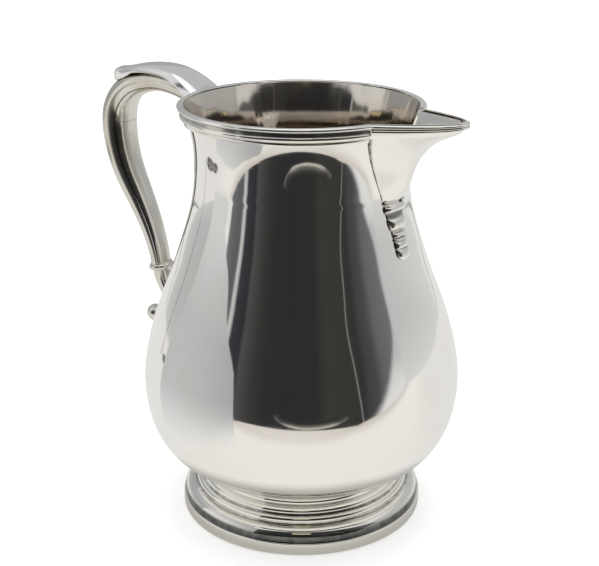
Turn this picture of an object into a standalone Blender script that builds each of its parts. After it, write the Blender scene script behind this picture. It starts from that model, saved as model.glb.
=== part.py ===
"""A footed silver water pitcher, built from the pieces a silversmith solders together.

Z is up, the spout points along +X and the handle along -X. The origin is on the table under the
middle of the pitcher's bounding box, so the body's axis stands at x = AXIS_X. Lengths are metres.
"""
import math

import bmesh
import bpy
import numpy as np

# Driving dimensions
RIM_TOP = 0.2050          # height of the rim above the table
RIM_BOTTOM = 0.1966       # lower edge of the rim moulding
RIM_R = 0.0581            # outside radius of the rim moulding
FOOT_R = 0.0604           # outside radius of the foot
FOOT_WIRE_H = 0.0059      # height of the wire that the foot stands on
WALL = 0.0009             # thickness of the body and the spout
FOOT_WALL = 0.0010        # thickness of the foot
GAP = 0.0003              # clearance between neighbouring pieces
SPOUT_REACH = 0.0879      # from the body's axis to the tip of the spout
REED_DEPTH = 0.0016       # how far the moulding on the spout's edge stands out
HANDLE_REACH = 0.1254     # from the body's axis to the outside of the handle
AXIS_X = (HANDLE_REACH - SPOUT_REACH) / 2

# Outside of the body as (radius, height), from the middle of the bottom up to the rim
BODY_OUTLINE = [
    (0.0000, 0.0170), (0.0180, 0.0173), (0.0340, 0.0190), (0.0475, 0.0239), (0.0567, 0.0277),
    (0.0647, 0.0331), (0.0719, 0.0420), (0.0772, 0.0590), (0.0779, 0.0680), (0.0745, 0.0917),
    (0.0693, 0.1082), (0.0629, 0.1247), (0.0573, 0.1412), (0.0527, 0.1577), (0.0508, 0.1742),
    (0.0518, 0.1907), (0.0558, 0.2042),
]

# Where the spout joins the body, as (height, half-angle in degrees about the body's axis)
SPOUT_JOINT = [(0.1665, 7.4), (0.1800, 12.8), (0.1940, 18.0), (0.2010, 21.0), (0.2050, 22.2)]
# Front edge of the spout, as (distance from the body's axis, height), from the bottom to the tip
SPOUT_CREST = [
    (0.0512, 0.1665), (0.0575, 0.1700), (0.0601, 0.1755), (0.0612, 0.1815), (0.0640, 0.1870),
    (0.0691, 0.1930), (0.0745, 0.1968), (0.0808, 0.1996), (0.0846, 0.2022),
    (SPOUT_REACH - REED_DEPTH, 0.2063),
]
SPOUT_POWER = 1.85        # how round the spout is in plan: 1 is a sharp V, 2 a parabola

# Middle line of the handle, as (distance behind the body's axis, height), with its relative size
HANDLE_LINE = [
    (0.0540, 0.1980, 0.70), (0.0660, 0.2030, 0.70), (0.0760, 0.2053, 0.71), (0.0870, 0.2060, 0.72),
    (0.0970, 0.2046, 0.77), (0.1055, 0.2015, 0.85), (0.1122, 0.1960, 0.93), (0.1163, 0.1885, 0.99),
    (0.1174, 0.1810, 1.00), (0.1168, 0.1720, 0.98), (0.1135, 0.1590, 0.92), (0.1052, 0.1428, 0.80),
    (0.0975, 0.1271, 0.67), (0.0933, 0.1142, 0.60), (0.0922, 0.1085, 0.58),
]
HANDLE_W = 0.0202         # width of the handle where its relative size is 1
HANDLE_D = 0.0160         # depth of the handle there
HANDLE_WALL = 0.0011      # thickness of the handle's shell and strips
SCROLL_BALL_R = 0.0047    # ball at the end of the handle's tail
STRIP_HALF_ANGLE = 57.0   # half the arc of the handle's section that the inner strip closes
STRIP_BUTT_Z = 0.1830     # height at which the two inner strips meet

PROFILE_POINTS = 22       # points along the body's outline
LATHE_STEPS = 48          # faces around a turned piece
HANDLE_STATIONS = 27      # sections along the handle
SHARP_ANGLE = math.radians(35)   # edges that turn more than this stay crisp


def material(name, colour, roughness):
    made = bpy.data.materials.new(name)
    made.use_nodes = True
    shader = made.node_tree.nodes["Principled BSDF"]
    shader.inputs["Base Color"].default_value = (*colour, 1.0)
    shader.inputs["Roughness"].default_value = roughness
    shader.inputs["Metallic"].default_value = 1.0
    return made


def spline(points, count):
    """The given number of points, evenly spaced, on a smooth curve through the given points."""
    points = np.asarray(points, float)
    steps = np.linalg.norm(np.diff(points[:, :2], axis=0), axis=1)
    knots = np.concatenate([[0.0], np.cumsum(steps)])
    size = len(knots)
    system = np.eye(size)
    right = np.zeros_like(points)
    for i in range(1, size - 1):
        before, after = steps[i - 1], steps[i]
        system[i, i - 1 : i + 2] = before, 2 * (before + after), after
        right[i] = 6 * ((points[i + 1] - points[i]) / after - (points[i] - points[i - 1]) / before)
    bend = np.linalg.solve(system, right)
    made = []
    for place in np.linspace(0.0, knots[-1], count):
        i = min(int(np.searchsorted(knots, place, side="right")) - 1, size - 2)
        span = steps[i]
        low, high = (knots[i + 1] - place) / span, (place - knots[i]) / span
        made.append(
            low * points[i] + high * points[i + 1]
            + ((low**3 - low) * bend[i] + (high**3 - high) * bend[i + 1]) * span**2 / 6
        )
    return np.array(made)


def offset(line, distance):
    """A line of (radius, height) points moved to the left of the way it runs."""
    along = np.gradient(line, axis=0)
    along /= np.linalg.norm(along, axis=1)[:, None]
    return line + distance * np.stack([-along[:, 1], along[:, 0]], axis=1)


def arc(centre, radius, start, end, count):
    """Points on an arc of a profile, with its angles in degrees from the outward direction."""
    angles = np.radians(np.linspace(start, end, count))
    return [(centre[0] + radius * math.cos(a), centre[1] + radius * math.sin(a)) for a in angles]


def lathe(name, profile, closed, finish, group):
    """A turned piece about the body's axis; the profile runs down its outer side."""
    mesh = bpy.data.meshes.new(name)
    vertices = [(max(r, 0.0), 0.0, z) for r, z in profile]
    edges = [(i, i + 1) for i in range(len(vertices) - 1)]
    if closed:
        edges.append((len(vertices) - 1, 0))
    mesh.from_pydata(vertices, edges, [])
    piece = place(name, mesh, finish, group)
    piece.location.x = AXIS_X
    screw = piece.modifiers.new("Turn", "SCREW")
    screw.axis = "Z"
    screw.steps = screw.render_steps = LATHE_STEPS
    screw.use_merge_vertices = True
    screw.merge_threshold = 0.00001
    screw.use_smooth_shade = True
    return piece


def place(name, mesh, finish, group):
    piece = bpy.data.objects.new(name, mesh)
    group.objects.link(piece)
    if finish:
        mesh.materials.append(finish)
    else:
        piece.hide_render = True
        piece.display_type = "WIRE"
    return piece


def combine(piece, other, operation):
    boolean = piece.modifiers.new(operation.title() + " " + other.name, "BOOLEAN")
    boolean.operation = operation
    boolean.solver = "EXACT"
    boolean.object = other


def cut(piece, cutter):
    combine(piece, cutter, "DIFFERENCE")


def join(piece, addition):
    combine(piece, addition, "UNION")


def swept(line, section):
    """Rings of points: a closed section, (across, outward), carried along a line behind the body.

    Each point of the line is its distance behind the body's axis, its height and the section's size.
    """
    along = np.gradient(line[:, :2], axis=0)
    along /= np.linalg.norm(along, axis=1)[:, None]
    rows = []
    for (behind, height, size), (back, rise) in zip(line, along):
        rows.append([
            (AXIS_X - behind + rise * out * size, across * size, height + back * out * size)
            for across, out in section
        ])
    return rows


def meshed(name, curve, finish, group):
    """The curve's solid as a mesh object, with its caps welded on."""
    guide = bpy.data.objects.new(name + " line", curve)
    group.objects.link(guide)
    bpy.context.view_layer.update()
    seen = guide.evaluated_get(bpy.context.evaluated_depsgraph_get())
    mesh = bpy.data.meshes.new_from_object(seen)
    mesh.name = name
    welded = bmesh.new()
    welded.from_mesh(mesh)
    bmesh.ops.remove_doubles(welded, verts=welded.verts, dist=0.000001)
    bmesh.ops.recalc_face_normals(welded, faces=welded.faces)
    welded.to_mesh(mesh)
    welded.free()
    mesh.materials.clear()
    bpy.data.objects.remove(guide)
    mesh.shade_smooth()
    mesh.set_sharp_from_angle(angle=SHARP_ANGLE)
    return place(name, mesh, finish, group)


def rod(name, line, radii, sides, finish, group):
    """A round rod of changing thickness along a line."""
    path = bpy.data.curves.new(name + " line", "CURVE")
    path.dimensions = "3D"
    path.bevel_depth = 1.0
    path.bevel_resolution = sides // 4
    path.use_fill_caps = True
    middle = path.splines.new("POLY")
    middle.points.add(len(line) - 1)
    for point, position, radius in zip(middle.points, line, radii):
        point.co = (*position, 1.0)
        point.radius = radius
    return meshed(name, path, finish, group)


def body_radius(height):
    """Outside radius of the body at a height above its widest point."""
    line = spline(BODY_OUTLINE, 200)
    upper = line[line[:, 1] > 0.08]
    return float(np.interp(height, upper[:, 1], upper[:, 0]))


def make_body(finish, group):
    """The raised hollow body, open at the top; its profile runs up the inside and down the outside."""
    outer = spline(BODY_OUTLINE, PROFILE_POINTS)
    inner = offset(outer, WALL)
    inner[0, 0] = 0.0
    profile = [*inner, *outer[::-1]]
    return lathe("body", profile, False, finish, group)


def make_clearances(group):
    """Solids a little larger than the body alone, and than the body with its rim, as cutters."""
    grown = offset(spline(BODY_OUTLINE, PROFILE_POINTS), -GAP)[::-1]
    bottom = (0.0, grown[-1, 1])
    above = 0.2200
    body_alone = [(0.0, above), (grown[0, 0], above), *grown[:-1], bottom]
    outside = RIM_R + GAP
    under_lip, under_bead = (outside, 0.2030), (0.0574, 0.1995)
    rim_foot = (0.0558, RIM_BOTTOM - GAP)
    neck_down = [point for point in grown[:-1] if point[1] < rim_foot[1]]
    with_rim = [(0.0, above), (outside, above), under_lip, under_bead, rim_foot, *neck_down, bottom]
    return (
        lathe("body clearance", body_alone, False, None, group),
        lathe("rim clearance", with_rim, False, None, group),
    )


def make_rim_moulding(finish, group):
    """A cast wire around the mouth: a lip bead, a cove, a larger bead and a thin fillet."""
    lip = arc((0.05715, 0.20415), 0.00095, 120, -60, 7)
    cove = [(0.0564, 0.2028), (0.0561, 0.2021)]
    bead = arc((0.0557, 0.20015), 0.0013, 60, -65, 7)
    fillet = [(0.0554, 0.1984), (0.0555, 0.1974), (0.0549, 0.1967), (0.0540, RIM_BOTTOM)]
    back = [(body_radius(z) + GAP, z) for z in np.linspace(RIM_BOTTOM, 0.2042, 4)]
    return lathe("rim_moulding", [*lip, *cove, *bead, *fillet, *back], True, finish, group)


def spout_station(share):
    """Half-width, base and crest of the spout at a share of its height, each in the XZ plane."""
    crest = spline(SPOUT_CREST, 101)[round(share * 100)]
    low, high = SPOUT_JOINT[0][0], SPOUT_JOINT[-1][0]
    crowding = 0.8            # under 1, it brings the stations closer together near the top
    height = low + (high - low) * share**crowding
    angle = math.radians(np.interp(height, *np.transpose(SPOUT_JOINT)))
    radius = body_radius(height)
    return radius * math.sin(angle), (radius * math.cos(angle), height), crest


def spout_point(station, side):
    """A point on the outside of the spout: side is 0 on the crest and -1 or 1 at the body."""
    half_width, base, crest = station
    share = 1 - abs(side) ** SPOUT_POWER
    x = base[0] + (crest[0] - base[0]) * share
    z = base[1] + (crest[1] - base[1]) * share
    return AXIS_X + x, half_width * side, z


def loft(mesh_name, rows):
    """Quads between rows of points, all of the same length."""
    made = bmesh.new()
    verts = [[made.verts.new(point) for point in row] for row in rows]
    for below, above in zip(verts, verts[1:]):
        for i in range(len(below) - 1):
            made.faces.new((below[i], below[i + 1], above[i + 1], above[i]))
    mesh = bpy.data.meshes.new(mesh_name)
    made.to_mesh(mesh)
    made.free()
    mesh.shade_smooth()
    return mesh


def closed_loft(mesh_name, rows):
    """A capped solid through rings of points, all of the same length."""
    made = bmesh.new()
    rings = [[made.verts.new(point) for point in row] for row in rows]
    count = len(rows[0])
    for below, above in zip(rings, rings[1:]):
        for i in range(count):
            j = (i + 1) % count
            made.faces.new((below[i], below[j], above[j], above[i]))
    made.faces.new(rings[0])
    made.faces.new(rings[-1])
    bmesh.ops.recalc_face_normals(made, faces=made.faces)
    mesh = bpy.data.meshes.new(mesh_name)
    made.to_mesh(mesh)
    made.free()
    mesh.shade_smooth()
    mesh.set_sharp_from_angle(angle=SHARP_ANGLE)
    return mesh


def make_spout(finish, group, body_clearance):
    """A folded sheet that widens from a point on the neck up to the pouring lip."""
    past_joint = 1.06
    sides = np.linspace(-past_joint, past_joint, 17)
    stations = [spout_station(share) for share in np.linspace(0.0, 1.0, 14)]
    rows = [[spout_point(station, side) for side in sides] for station in stations]
    spout = place("spout", loft("spout", rows), finish, group)
    shell = spout.modifiers.new("Sheet", "SOLIDIFY")
    shell.thickness = WALL
    shell.offset = -1.0
    shell.use_even_offset = True
    cut(spout, body_clearance)
    return spout


def extruded(name, outline, push, group):
    """A cutter with a flat outline, pushed out along a straight line."""
    made = bmesh.new()
    face = made.faces.new([made.verts.new(point) for point in outline])
    grown = bmesh.ops.extrude_face_region(made, geom=[face])
    moved = [item for item in grown["geom"] if isinstance(item, bmesh.types.BMVert)]
    bmesh.ops.translate(made, verts=moved, vec=push)
    bmesh.ops.recalc_face_normals(made, faces=made.faces)
    mesh = bpy.data.meshes.new(name)
    made.to_mesh(mesh)
    made.free()
    return place(name, mesh, None, group)


def make_spout_opening(group):
    """The V that is sawn out of the body's wall behind the spout, as a cutter."""
    inset, near, depth, above = 0.0013, AXIS_X + 0.030, 0.045, 0.2150
    right = []
    for level in np.linspace(0.1700, RIM_TOP, 8):
        angle = math.radians(np.interp(level, *np.transpose(SPOUT_JOINT)))
        right.append((body_radius(level) * math.sin(angle) - inset, level))
    right.append((right[-1][0], above))
    outline = [(near, y, z) for y, z in right] + [(near, -y, z) for y, z in reversed(right)]
    return extruded("spout opening", outline, (depth, 0.0, 0.0), group)


def make_rim_gap(group):
    """The stretch of the rim moulding that the spout interrupts, as a wedge-shaped cutter."""
    half = math.radians(SPOUT_JOINT[-1][1] + 0.4)
    reach, below, height = 0.080, 0.190, 0.025
    side = reach * math.tan(half)
    outline = [(AXIS_X, 0.0, below), (AXIS_X + reach, -side, below), (AXIS_X + reach, side, below)]
    return extruded("rim gap", outline, (0.0, 0.0, height), group)


def make_spout_moulding(name, side, finish, group):
    """A twin-reeded wire along the outside of one edge of the spout."""
    reed = 0.0009
    middle = REED_DEPTH - GAP - reed
    upper = arc((middle, -0.0011), reed, 100, -70, 6)
    lower = arc((middle, -0.0030), reed, 70, -100, 6)
    section = [(0.0, -0.0001), *upper, *lower, (0.0, -0.0040)]
    top = spout_station(1.0)
    line = np.array([spout_point(top, side * share) for share in np.linspace(0.97, 0.02, 16)])
    along = np.gradient(line[:, :2], axis=0)
    along /= np.linalg.norm(along, axis=1)[:, None]
    outward = side * np.stack([-along[:, 1], along[:, 0]], axis=1)
    heights = np.linspace(1.08, 0.70, len(line))   # relative height of the section, body to tip
    rows = []
    for (x, y, z), (out_x, out_y), height in zip(line, outward, heights):
        rows.append([
            (x + out_x * (GAP + out), y + out_y * (GAP + out), z + down * height)
            for out, down in section
        ])
    return place(name, closed_loft(name, rows), finish, group)


def make_spout_drop(finish, group, body_clearance):
    """A cast drop on the neck below the spout: stepped bands that narrow to a rounded tip."""
    top, tip = (0.0513, 0.1662), (0.0574, 0.1402)
    length = math.dist(top, tip)
    bands = [
        (0.0000, 0.0000), (0.0056, 0.0000), (0.0060, 0.0008), (0.0056, 0.0018), (0.0044, 0.0024),
        (0.0042, 0.0048), (0.0050, 0.0056), (0.0050, 0.0076), (0.0038, 0.0112), (0.0030, 0.0120),
        (0.0038, 0.0130), (0.0038, 0.0140), (0.0028, 0.0148), (0.0036, 0.0158), (0.0036, 0.0168),
        (0.0028, 0.0176), (0.0042, 0.0182), (0.0042, 0.0194), (0.0030, 0.0200), (0.0034, 0.0218),
        (0.0030, 0.0242), (0.0018, 0.0260), (0.0000, length),
    ]
    drop = lathe("spout_drop", [(r, -d) for r, d in bands], False, finish, group)
    turn = drop.modifiers["Turn"]
    turn.steps = turn.render_steps = 28
    drop.location = (AXIS_X + top[0], 0.0, top[1])
    drop.rotation_euler.y = -math.atan2(tip[0] - top[0], top[1] - tip[1])
    drop.scale.x = 0.85
    cut(drop, body_clearance)
    return drop


def handle_arc(half_w, half_d, start, end, count):
    """Part of the handle's oval section, with angles in degrees from the side away from the body."""
    angles = np.radians(np.linspace(start, end, count))
    return [(half_w * math.sin(a), half_d * math.cos(a)) for a in angles]


def handle_section(start, end, count):
    """The section of one wall of the hollow handle, from one angle to another and back inside."""
    half_w, half_d = HANDLE_W / 2, HANDLE_D / 2
    outside = handle_arc(half_w, half_d, start, end, count)
    inside = handle_arc(half_w - HANDLE_WALL, half_d - HANDLE_WALL, end, start, count)
    return outside + inside


def make_handle(finish, group, clearance):
    """The hollow handle: a U-shaped outer shell closed on its inner side by two strips."""
    line = spline(HANDLE_LINE, HANDLE_STATIONS)
    seam = 180 - STRIP_HALF_ANGLE
    shell_rows = swept(line, handle_section(-seam, seam, 13))
    shell = place("handle_shell", closed_loft("handle_shell", shell_rows), finish, group)
    cut(shell, clearance)
    seam_gap = 4.0
    strip_rows = swept(line, handle_section(seam + seam_gap, 360 - seam - seam_gap, 7))
    butt = next(i for i, point in enumerate(line) if point[1] < STRIP_BUTT_Z)
    upper_mesh = closed_loft("handle_strip_upper", strip_rows[: butt + 1])
    upper = place("handle_strip_upper", upper_mesh, finish, group)
    cut(upper, clearance)
    start = [(x, y, z - GAP) for x, y, z in strip_rows[butt]]
    lower_mesh = closed_loft("handle_strip_lower", [start, *strip_rows[butt + 1 :]])
    place("handle_strip_lower", lower_mesh, finish, group)


def make_handle_clearance(group):
    """The handle's whole section, a little larger, as a cutter for what is soldered onto it."""
    grow = 2 * GAP
    section = handle_arc(HANDLE_W / 2 + grow, HANDLE_D / 2 + grow, 0, 345, 24)
    rows = swept(spline(HANDLE_LINE, HANDLE_STATIONS), section)
    return place("handle clearance", closed_loft("handle clearance", rows), None, group)


def make_thumb_plate(finish, group, cutters, clearance):
    """A smooth saddle over the handle's arch, which narrows to a blunt free end for the thumb."""
    line = spline([
        (0.0560, 0.2031, 1.30), (0.0620, 0.2063, 1.24), (0.0690, 0.2094, 1.14),
        (0.0780, 0.2118, 1.05), (0.0870, 0.2123, 0.98), (0.0970, 0.2115, 0.90),
        (0.1050, 0.2099, 0.83), (0.1100, 0.2090, 0.78), (0.1143, 0.2088, 0.75),
    ], 22)
    top = [(0.0, 0.0024), (0.0045, 0.0021), (0.0078, 0.0011), (0.0094, -0.0006), (0.0095, -0.0016)]
    under = [(0.0086, -0.0023), (0.0066, -0.0018), (0.0035, -0.0004)]
    right = top + under
    section = [*right, (0.0, 0.0), *[(-x, y) for x, y in reversed(right[1:])]]
    plate = place("thumb_plate", closed_loft("thumb_plate", swept(line, section)), finish, group)
    cut(plate, make_handle_clearance(cutters))
    cut(plate, clearance)


def handle_end(distance):
    """A point past the handle's lower end, at a distance along its last direction."""
    (r0, z0, _), (r1, z1, _) = HANDLE_LINE[-2:]
    length = math.dist((r0, z0), (r1, z1))
    share = distance / length
    return r1 + (r1 - r0) * share, z1 + (z1 - z0) * share


def make_handle_collar(finish, group):
    """A ring where the hollow handle ends on the cast scroll."""
    ring = [(0.0003, 0.0060), (0.0010, 0.0067), (0.0021, 0.0069), (0.0032, 0.0064), (0.0037, 0.0057)]
    ends = [handle_end(distance) for distance, _ in ring]
    line = [(AXIS_X - r, 0.0, z) for r, z in ends]
    rod("handle_collar", line, [radius for _, radius in ring], 24, finish, group)


def make_handle_scroll(finish, group, cutters, clearance):
    """The cast lower end: a strut that curves in to the body, and a tail that ends in a ball."""
    strut = spline([
        (*handle_end(0.0040), 0.0050), (0.0906, 0.1000, 0.0047), (0.0882, 0.0953, 0.0044),
        (0.0856, 0.0908, 0.0042), (0.0815, 0.0868, 0.0043), (0.0750, 0.0845, 0.0046),
    ], 13)
    tail = spline([
        (0.0790, 0.0870, 0.0042), (0.0840, 0.0840, 0.0036), (0.0890, 0.0822, 0.0031),
        (0.0935, 0.0811, 0.0031), (0.0970, 0.0792, 0.0036),
    ], 9)
    scroll = rod("handle_scroll", [(AXIS_X - r, 0.0, z) for r, z, _ in strut],
                 [radius for _, _, radius in strut], 16, finish, group)
    curl = rod("scroll tail", [(AXIS_X - r, 0.0, z) for r, z, _ in tail],
               [radius for _, _, radius in tail], 16, None, cutters)
    made = bmesh.new()
    bmesh.ops.create_uvsphere(made, u_segments=20, v_segments=12, radius=SCROLL_BALL_R)
    bmesh.ops.translate(made, verts=made.verts, vec=(AXIS_X - 0.0977, 0.0, 0.0783))
    mesh = bpy.data.meshes.new("scroll ball")
    made.to_mesh(mesh)
    made.free()
    ball = place("scroll ball", mesh, None, cutters)
    join(scroll, curl)
    join(scroll, ball)
    cut(scroll, clearance)


def make_foot(finish, group):
    """A beaded collar under the body, the stepped foot, and the plain wire that it stands on."""
    collar = arc((0.0469, 0.0210), 0.0018, 80, -80, 7)
    collar += [(0.0455, 0.0192), (0.0452, 0.0200), (0.0452, 0.0222), (0.0458, 0.0228)]
    lathe("foot_collar", collar, True, finish, group)

    seat = FOOT_WIRE_H + GAP
    quarter, quarter_r = (0.0545, 0.0074), 0.0051
    steps = [(0.0484, 0.0189), (0.0495, 0.0184), (0.0506, 0.0176), (0.0508, 0.0166)]
    bead = [*arc((0.0517, 0.0140), 0.0019, 75, 0, 4), (0.0541, 0.0127)]
    ovolo = [*arc(quarter, quarter_r, 85, 0, 6), (quarter[0] + quarter_r, seat)]
    under = [(quarter[0] + quarter_r - FOOT_WALL, seat), *arc(quarter, quarter_r - FOOT_WALL, 0, 90, 3)]
    inside = [(0.0516, 0.0124), (0.0500, 0.0150), (0.0474, 0.0174), (0.0474, 0.0189)]
    lathe("foot_ring", [*steps, *bead, *ovolo, *under, *inside], True, finish, group)

    edge, inner = 0.0005, 0.0573
    wire = [
        (FOOT_R - edge, FOOT_WIRE_H), (FOOT_R, FOOT_WIRE_H - edge),
        (FOOT_R, edge), (FOOT_R - edge, 0.0),
        (inner + edge, 0.0), (inner, edge),
        (inner, FOOT_WIRE_H - edge), (inner + edge, FOOT_WIRE_H),
    ]
    lathe("foot_wire", wire, True, finish, group)


def main():
    for leftover in list(bpy.data.objects):
        bpy.data.objects.remove(leftover)
    parts = bpy.data.collections.new("water_pitcher")
    cutters = bpy.data.collections.new("cutters")
    for group in (parts, cutters):
        bpy.context.scene.collection.children.link(group)

    polished = material("polished silver", (0.93, 0.92, 0.90), 0.06)
    body_clearance, clearance = make_clearances(cutters)
    body = make_body(polished, parts)
    cut(body, make_spout_opening(cutters))
    rim = make_rim_moulding(polished, parts)
    cut(rim, make_rim_gap(cutters))
    make_spout(polished, parts, body_clearance)
    make_spout_moulding("spout_moulding_left", 1, polished, parts)
    make_spout_moulding("spout_moulding_right", -1, polished, parts)
    make_spout_drop(polished, parts, body_clearance)
    make_handle(polished, parts, clearance)
    make_thumb_plate(polished, parts, cutters, clearance)
    make_handle_collar(polished, parts)
    make_handle_scroll(polished, parts, cutters, clearance)
    make_foot(polished, parts)


main()
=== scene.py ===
"""Looks of a footed silver water pitcher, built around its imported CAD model. Lengths are metres.

Z is up, the spout points along +X and the handle along -X. The body's axis stands at x = axis_x.
Turned pieces are profiles of (radius, height); what lies behind the body is (distance behind the
axis, height). The surroundings that the silver mirrors are stage pieces that only it sees.
"""
import math

import bmesh
import bpy
import numpy as np
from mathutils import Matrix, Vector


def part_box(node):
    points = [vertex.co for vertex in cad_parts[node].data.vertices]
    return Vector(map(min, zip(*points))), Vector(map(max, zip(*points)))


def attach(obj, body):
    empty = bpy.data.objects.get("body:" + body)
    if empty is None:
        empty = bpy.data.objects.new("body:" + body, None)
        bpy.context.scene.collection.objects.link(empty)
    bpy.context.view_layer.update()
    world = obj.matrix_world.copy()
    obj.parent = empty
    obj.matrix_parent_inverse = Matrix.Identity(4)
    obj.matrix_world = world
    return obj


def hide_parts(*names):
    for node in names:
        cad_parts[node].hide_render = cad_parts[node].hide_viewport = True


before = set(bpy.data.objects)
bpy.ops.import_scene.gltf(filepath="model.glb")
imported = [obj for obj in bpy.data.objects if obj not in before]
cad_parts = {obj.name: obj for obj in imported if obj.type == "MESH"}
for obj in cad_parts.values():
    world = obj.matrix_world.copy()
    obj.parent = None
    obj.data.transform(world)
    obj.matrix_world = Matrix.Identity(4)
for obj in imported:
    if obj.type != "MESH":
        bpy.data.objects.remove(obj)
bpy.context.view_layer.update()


def middle_x(node):
    low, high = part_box(node)
    return (low.x + high.x) / 2


axis_x = middle_x("foot_wire")
foot_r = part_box("foot_wire")[1].y
foot_wire_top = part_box("foot_wire")[1].z
rim_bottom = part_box("rim_moulding")[0].z

AROUND = 192              # faces around a turned piece
WALL = 0.0009             # thickness of the body and the spout
SEAT = 0.0002             # how far a soldered piece sinks into the one it sits on

# Outside of the body as (radius, height), from the middle of the bottom up to the rim
BODY_OUTLINE = [
    (0.0000, 0.0170), (0.0180, 0.0173), (0.0340, 0.0190), (0.0475, 0.0239), (0.0567, 0.0277),
    (0.0647, 0.0331), (0.0719, 0.0420), (0.0772, 0.0590), (0.0779, 0.0680), (0.0745, 0.0917),
    (0.0693, 0.1082), (0.0629, 0.1247), (0.0573, 0.1412), (0.0527, 0.1577), (0.0508, 0.1742),
    (0.0518, 0.1907), (0.0558, 0.2042),
]
BODY_TOP = 0.2040         # where the body's wall ends, inside the rim moulding

# Where the spout joins the body, as (height, half-angle in degrees about the body's axis)
SPOUT_JOINT = [
    (0.1650, 8.4), (0.1758, 13.2), (0.1873, 18.5), (0.1945, 21.2), (0.2000, 22.3), (0.2050, 22.4),
]
# Front edge of the spout, as (distance from the body's axis, height), from the bottom to the tip
SPOUT_CREST = [
    (0.0517, 0.1650), (0.0560, 0.1690), (0.0592, 0.1755), (0.0612, 0.1815), (0.0640, 0.1870),
    (0.0691, 0.1930), (0.0745, 0.1968), (0.0808, 0.1996), (0.0846, 0.2022), (0.0863, 0.2063),
]
SPOUT_POWER = 1.85        # how round the spout is in plan: 1 is a sharp V, 2 a parabola

# Middle line of the handle, as (distance behind the body's axis, height), with its relative size
HANDLE_LINE = [
    (0.0540, 0.1966, 0.70), (0.0660, 0.2020, 0.70), (0.0760, 0.2048, 0.71), (0.0870, 0.2059, 0.72),
    (0.0970, 0.2046, 0.77), (0.1055, 0.2015, 0.85), (0.1122, 0.1960, 0.93), (0.1163, 0.1885, 0.99),
    (0.1174, 0.1810, 1.00), (0.1168, 0.1720, 0.98), (0.1135, 0.1590, 0.92), (0.1052, 0.1428, 0.80),
    (0.0975, 0.1271, 0.67), (0.0933, 0.1142, 0.60), (0.0922, 0.1085, 0.58),
]
HANDLE_W = 0.0202         # width of the handle where its relative size is 1
HANDLE_D = 0.0160         # depth of the handle there
HANDLE_WALL = 0.0011      # thickness of the handle's shell and strips
STRIP_HALF_ANGLE = 57.0   # half the arc of the handle's section that the inner strip closes
STRIP_BUTT_Z = 0.1830     # height at which the two inner strips meet


# Lines and profiles

def natural_spline(points):
    """A function of a share from 0 to 1 along a smooth curve through the points."""
    points = np.asarray(points, float)
    steps = np.linalg.norm(np.diff(points[:, :2], axis=0), axis=1)
    knots = np.concatenate([[0.0], np.cumsum(steps)])
    size = len(knots)
    system = np.eye(size)
    right = np.zeros_like(points)
    for i in range(1, size - 1):
        before, after = steps[i - 1], steps[i]
        system[i, i - 1 : i + 2] = before, 2 * (before + after), after
        right[i] = 6 * ((points[i + 1] - points[i]) / after - (points[i] - points[i - 1]) / before)
    bend = np.linalg.solve(system, right)

    def at(share):
        place = np.clip(share, 0.0, 1.0) * knots[-1]
        i = np.clip(np.searchsorted(knots, place, side="right") - 1, 0, size - 2)
        span = steps[i]
        low = ((knots[i + 1] - place) / span)[..., None]
        high = ((place - knots[i]) / span)[..., None]
        curve = (low**3 - low) * bend[i] + (high**3 - high) * bend[i + 1]
        return low * points[i] + high * points[i + 1] + curve * span[..., None] ** 2 / 6

    return at


def spline(points, count):
    return natural_spline(points)(np.linspace(0.0, 1.0, count))


def tangents(line):
    along = np.gradient(line[:, :2], axis=0)
    return along / np.linalg.norm(along, axis=1)[:, None]


def offset(line, distance):
    """A line moved to the left of the way it runs."""
    along = tangents(line)
    return line + distance * np.stack([-along[:, 1], along[:, 0]], axis=1)


def arc(centre, radius, start, end, count):
    """Points on an arc of a profile, with its angles in degrees from the outward direction."""
    angles = np.radians(np.linspace(start, end, count))
    return [(centre[0] + radius * math.cos(a), centre[1] + radius * math.sin(a)) for a in angles]


def softened(profile, step, reach):
    """A profile resampled at an even step, with its corners rounded over about the given reach."""
    points = np.asarray(profile, float)
    knots = np.concatenate([[0.0], np.cumsum(np.linalg.norm(np.diff(points, axis=0), axis=1))])
    count = max(8, int(knots[-1] / step))
    places = np.linspace(0.0, knots[-1], count)
    line = np.stack([np.interp(places, knots, points[:, k]) for k in range(points.shape[1])], axis=1)
    half = max(1, round(reach / (knots[-1] / count)))
    window = np.hanning(2 * half + 3)[1:-1]
    window /= window.sum()
    ends = np.concatenate([
        2 * line[0] - line[half:0:-1], line, 2 * line[-1] - line[-2 : -half - 2 : -1],
    ])
    return np.stack([np.convolve(ends[:, k], window, "valid") for k in range(line.shape[1])], axis=1)


# Meshes

def mesh_of(name, points, faces):
    mesh = bpy.data.meshes.new(name)
    mesh.from_pydata([tuple(p) for p in points], [], faces)
    return mesh


def strip_faces(rows, columns, around):
    """Quads of a grid of rows, closed around each row if asked."""
    across = columns if around else columns - 1
    faces = []
    for i in range(rows - 1):
        low, high = i * columns, (i + 1) * columns
        for j in range(across):
            k = (j + 1) % columns
            faces.append((low + j, low + k, high + k, high + j))
    return faces


def capped_faces(rows, columns):
    """Faces of a closed section carried along a line, with both ends closed."""
    last = (rows - 1) * columns
    ends = [tuple(range(columns)), tuple(range(last, last + columns))]
    return strip_faces(rows, columns, True) + ends


def ring_faces(rows, columns):
    """Faces of a closed section carried around a ring, back to where it starts."""
    faces = strip_faces(rows, columns, True)
    last = (rows - 1) * columns
    for j in range(columns):
        k = (j + 1) % columns
        faces.append((last + j, last + k, k, j))
    return faces


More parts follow.
